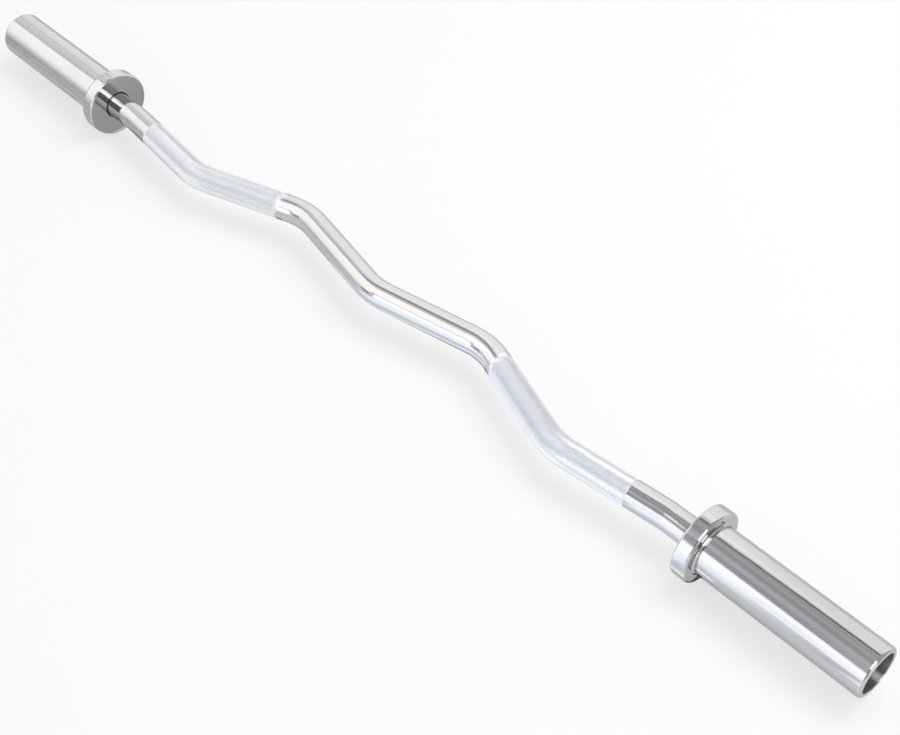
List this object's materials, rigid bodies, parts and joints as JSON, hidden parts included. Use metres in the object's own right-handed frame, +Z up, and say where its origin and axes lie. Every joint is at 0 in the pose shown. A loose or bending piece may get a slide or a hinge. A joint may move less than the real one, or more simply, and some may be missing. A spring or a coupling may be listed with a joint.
{
  "type": "ez curl bar",
  "caption": "Cambered curl bar: a bent chrome shaft with angled knurled grips, and on each end a plate sleeve that turns on bushings behind a round collar.",
  "frame": {"origin": "on the floor under the middle of the sleeves' common axis, with the bar lying on its two collars and its bends flat", "axes": "+X along the sleeve axis towards the right sleeve, +Y the way the middle of the shaft bends, +Z up"},
  "size_m": [1.2, 0.0784, 0.072],
  "materials": {
    "shaft_chrome": "polished chrome plate, satin on the knurled grips",
    "sleeve_chrome": "polished chrome plate",
    "bronze": "turned sintered bronze",
    "zinc_steel": "zinc-plated steel"
  },
  "bodies": {
    "shaft": {"shaft": "shaft_chrome", "right_thrust_washer": "zinc_steel", "right_end_washer": "zinc_steel", "right_spring_washer": "zinc_steel", "right_retaining_bolt": "zinc_steel", "left_thrust_washer": "zinc_steel", "left_end_washer": "zinc_steel", "left_spring_washer": "zinc_steel", "left_retaining_bolt": "zinc_steel"},
    "right_sleeve": {"right_sleeve_tube": "sleeve_chrome", "right_inner_collar": "sleeve_chrome", "right_inner_bushing": "bronze", "right_outer_bushing": "bronze"},
    "left_sleeve": {"left_sleeve_tube": "sleeve_chrome", "left_inner_collar": "sleeve_chrome", "left_inner_bushing": "bronze", "left_outer_bushing": "bronze"}
  },
  "joints": [
    {"name": "right_sleeve_spin", "type": "hinge", "parent": "shaft", "child": "right_sleeve", "pos_m": [0.5, 0, 0.036], "axis": [1, 0, 0], "continuous": true},
    {"name": "left_sleeve_spin", "type": "hinge", "parent": "shaft", "child": "left_sleeve", "pos_m": [-0.5, 0, 0.036], "axis": [-1, 0, 0], "continuous": true}
  ]
}
